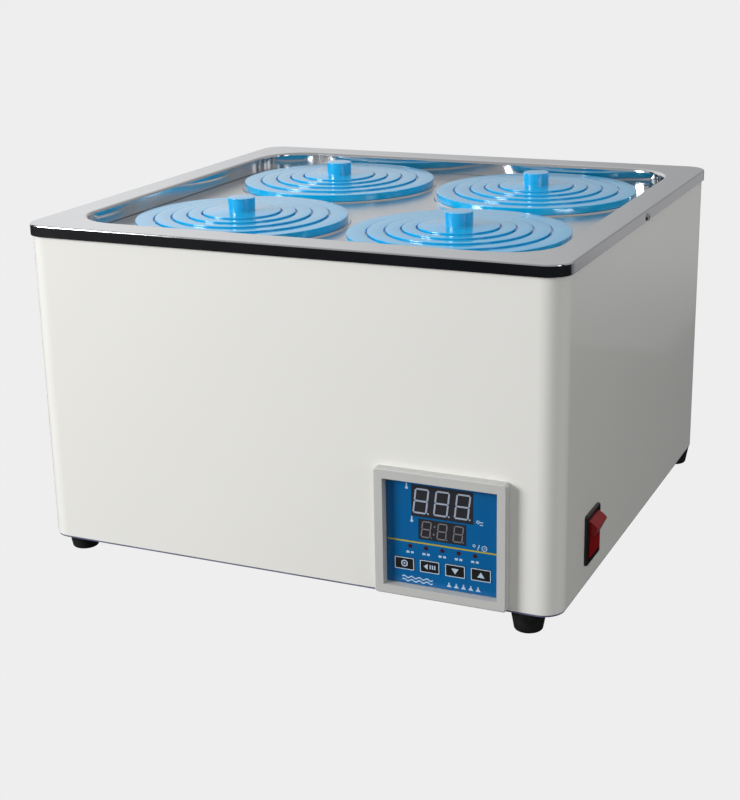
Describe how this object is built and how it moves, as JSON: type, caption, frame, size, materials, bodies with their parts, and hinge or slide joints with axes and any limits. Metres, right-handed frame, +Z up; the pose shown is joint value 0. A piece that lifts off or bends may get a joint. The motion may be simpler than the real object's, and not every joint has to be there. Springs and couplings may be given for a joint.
{
  "type": "water bath",
  "caption": "Benchtop electric water bath with a drawn steel tank, lift-out cover plate, nested ring lids, front temperature controller and side rocker switch.",
  "frame": {"origin": "on the bench, under the middle of the whole object's box", "axes": "+Z up, +X to the right as seen from the controller side, +Y to the back"},
  "size_m": [0.3494, 0.365, 0.2214],
  "materials": {
    "casing_enamel": "gloss",
    "base_steel": "satin",
    "black_rubber": "matte",
    "zinc_screws": "satin",
    "polished_steel": "mirror",
    "satin_steel": "satin",
    "mineral_wool": "matte",
    "heater_sheath": "satin",
    "brass_fittings": "satin",
    "ceramic_body": "matte",
    "blue_lid": "gloss",
    "grey_abs": "matte",
    "black_abs": "satin",
    "blue_overlay": "satin",
    "display_window": "gloss",
    "led_lens": "gloss",
    "circuit_board": "satin",
    "black_keys": "satin",
    "red_rocker": "gloss",
    "fuse_glass": "clear",
    "wire_jacket": "satin"
  },
  "bodies": {
    "casing": {"base_plate": "base_steel", "base_screws": "zinc_screws", "bezel": "grey_abs", "casing_shell": "casing_enamel", "controller_board": "circuit_board", "controller_case": "black_abs", "drain_pipe": "polished_steel", "heater_element": "heater_sheath", "indicator_leds": "led_lens", "inlet_pins": "brass_fittings", "insulation": "mineral_wool", "key_switches": "black_abs", "main_display": "display_window", "overlay_panel": "blue_overlay", "power_inlet": "black_abs", "rear_panel": "casing_enamel", "rear_screws": "zinc_screws", "rim_screws": "zinc_screws", "rocker_frame": "black_abs", "rubber_feet": "black_rubber", "second_display": "display_window", "solid_state_relay": "grey_abs", "tank": "polished_steel", "tank_glands": "brass_fittings", "tank_rim": "polished_steel", "temperature_probe": "polished_steel", "terminal_block": "grey_abs", "thermal_cutout": "ceramic_body", "wiring": "wire_jacket"},
    "cover_plate": {"cover_plate": "satin_steel"},
    "shelf": {"shelf": "satin_steel", "shelf_legs": "satin_steel"},
    "drain_plug": {"drain_plug": "black_rubber"},
    "rocker": {"rocker": "red_rocker"},
    "fuse_drawer": {"fuse_drawer": "black_abs", "fuse": "fuse_glass"},
    "set_key": {"set_key": "black_keys"},
    "shift_key": {"shift_key": "black_keys"},
    "down_key": {"down_key": "black_keys"},
    "up_key": {"up_key": "black_keys"},
    "lid_front_left_ring_1": {"lid_front_left_ring_1": "blue_lid"},
    "lid_front_left_ring_2": {"lid_front_left_ring_2": "blue_lid"},
    "lid_front_left_ring_3": {"lid_front_left_ring_3": "blue_lid"},
    "lid_front_left_ring_4": {"lid_front_left_ring_4": "blue_lid"},
    "lid_front_left_cap": {"lid_front_left_cap": "blue_lid"},
    "lid_front_right_ring_1": {"lid_front_right_ring_1": "blue_lid"},
    "lid_front_right_ring_2": {"lid_front_right_ring_2": "blue_lid"},
    "lid_front_right_ring_3": {"lid_front_right_ring_3": "blue_lid"},
    "lid_front_right_ring_4": {"lid_front_right_ring_4": "blue_lid"},
    "lid_front_right_cap": {"lid_front_right_cap": "blue_lid"},
    "lid_back_left_ring_1": {"lid_back_left_ring_1": "blue_lid"},
    "lid_back_left_ring_2": {"lid_back_left_ring_2": "blue_lid"},
    "lid_back_left_ring_3": {"lid_back_left_ring_3": "blue_lid"},
    "lid_back_left_ring_4": {"lid_back_left_ring_4": "blue_lid"},
    "lid_back_left_cap": {"lid_back_left_cap": "blue_lid"},
    "lid_back_right_ring_1": {"lid_back_right_ring_1": "blue_lid"},
    "lid_back_right_ring_2": {"lid_back_right_ring_2": "blue_lid"},
    "lid_back_right_ring_3": {"lid_back_right_ring_3": "blue_lid"},
    "lid_back_right_ring_4": {"lid_back_right_ring_4": "blue_lid"},
    "lid_back_right_cap": {"lid_back_right_cap": "blue_lid"}
  },
  "joints": [
    {"name": "cover_plate_lift", "type": "slide", "parent": "casing", "child": "cover_plate", "axis": [0, 0, 1], "range_m": [0, 0.1]},
    {"name": "shelf_lift", "type": "slide", "parent": "casing", "child": "shelf", "axis": [0, 0, 1], "range_m": [0, 0.06]},
    {"name": "lid_front_left_ring_1_lift", "type": "slide", "parent": "cover_plate", "child": "lid_front_left_ring_1", "axis": [0, 0, 1], "range_m": [0, 0.04]},
    {"name": "lid_front_left_ring_2_lift", "type": "slide", "parent": "lid_front_left_ring_1", "child": "lid_front_left_ring_2", "axis": [0, 0, 1], "range_m": [0, 0.04]},
    {"name": "lid_front_left_ring_3_lift", "type": "slide", "parent": "lid_front_left_ring_2", "child": "lid_front_left_ring_3", "axis": [0, 0, 1], "range_m": [0, 0.04]},
    {"name": "lid_front_left_ring_4_lift", "type": "slide", "parent": "lid_front_left_ring_3", "child": "lid_front_left_ring_4", "axis": [0, 0, 1], "range_m": [0, 0.04]},
    {"name": "lid_front_left_cap_lift", "type": "slide", "parent": "lid_front_left_ring_4", "child": "lid_front_left_cap", "axis": [0, 0, 1], "range_m": [0, 0.04]},
    {"name": "lid_front_right_ring_1_lift", "type": "slide", "parent": "cover_plate", "child": "lid_front_right_ring_1", "axis": [0, 0, 1], "range_m": [0, 0.04]},
    {"name": "lid_front_right_ring_2_lift", "type": "slide", "parent": "lid_front_right_ring_1", "child": "lid_front_right_ring_2", "axis": [0, 0, 1], "range_m": [0, 0.04]},
    {"name": "lid_front_right_ring_3_lift", "type": "slide", "parent": "lid_front_right_ring_2", "child": "lid_front_right_ring_3", "axis": [0, 0, 1], "range_m": [0, 0.04]},
    {"name": "lid_front_right_ring_4_lift", "type": "slide", "parent": "lid_front_right_ring_3", "child": "lid_front_right_ring_4", "axis": [0, 0, 1], "range_m": [0, 0.04]},
    {"name": "lid_front_right_cap_lift", "type": "slide", "parent": "lid_front_right_ring_4", "child": "lid_front_right_cap", "axis": [0, 0, 1], "range_m": [0, 0.04]},
    {"name": "lid_back_left_ring_1_lift", "type": "slide", "parent": "cover_plate", "child": "lid_back_left_ring_1", "axis": [0, 0, 1], "range_m": [0, 0.04]},
    {"name": "lid_back_left_ring_2_lift", "type": "slide", "parent": "lid_back_left_ring_1", "child": "lid_back_left_ring_2", "axis": [0, 0, 1], "range_m": [0, 0.04]},
    {"name": "lid_back_left_ring_3_lift", "type": "slide", "parent": "lid_back_left_ring_2", "child": "lid_back_left_ring_3", "axis": [0, 0, 1], "range_m": [0, 0.04]},
    {"name": "lid_back_left_ring_4_lift", "type": "slide", "parent": "lid_back_left_ring_3", "child": "lid_back_left_ring_4", "axis": [0, 0, 1], "range_m": [0, 0.04]},
    {"name": "lid_back_left_cap_lift", "type": "slide", "parent": "lid_back_left_ring_4", "child": "lid_back_left_cap", "axis": [0, 0, 1], "range_m": [0, 0.04]},
    {"name": "lid_back_right_ring_1_lift", "type": "slide", "parent": "cover_plate", "child": "lid_back_right_ring_1", "axis": [0, 0, 1], "range_m": [0, 0.04]},
    {"name": "lid_back_right_ring_2_lift", "type": "slide", "parent": "lid_back_right_ring_1", "child": "lid_back_right_ring_2", "axis": [0, 0, 1], "range_m": [0, 0.04]},
    {"name": "lid_back_right_ring_3_lift", "type": "slide", "parent": "lid_back_right_ring_2", "child": "lid_back_right_ring_3", "axis": [0, 0, 1], "range_m": [0, 0.04]},
    {"name": "lid_back_right_ring_4_lift", "type": "slide", "parent": "lid_back_right_ring_3", "child": "lid_back_right_ring_4", "axis": [0, 0, 1], "range_m": [0, 0.04]},
    {"name": "lid_back_right_cap_lift", "type": "slide", "parent": "lid_back_right_ring_4", "child": "lid_back_right_cap", "axis": [0, 0, 1], "range_m": [0, 0.04]},
    {"name": "drain_plug_pull", "type": "slide", "parent": "casing", "child": "drain_plug", "axis": [0, 1, 0], "range_m": [0, 0.03]},
    {"name": "fuse_drawer_pull", "type": "slide", "parent": "casing", "child": "fuse_drawer", "axis": [0, 1, 0], "range_m": [0, 0.024]},
    {"name": "set_key_press", "type": "slide", "parent": "casing", "child": "set_key", "axis": [0, 1, 0], "range_m": [0, 0.0005], "stiffness_N_per_m": 400, "springref_m": -0.0005},
    {"name": "shift_key_press", "type": "slide", "parent": "casing", "child": "shift_key", "axis": [0, 1, 0], "range_m": [0, 0.0005], "stiffness_N_per_m": 400, "springref_m": -0.0005},
    {"name": "down_key_press", "type": "slide", "parent": "casing", "child": "down_key", "axis": [0, 1, 0], "range_m": [0, 0.0005], "stiffness_N_per_m": 400, "springref_m": -0.0005},
    {"name": "up_key_press", "type": "slide", "parent": "casing", "child": "up_key", "axis": [0, 1, 0], "range_m": [0, 0.0005], "stiffness_N_per_m": 400, "springref_m": -0.0005},
    {"name": "rocker_tilt", "type": "hinge", "parent": "casing", "child": "rocker", "pos_m": [0.16474, -0.1165, 0.042], "axis": [0, 1, 0], "range_deg": [-26, 0]}
  ]
}
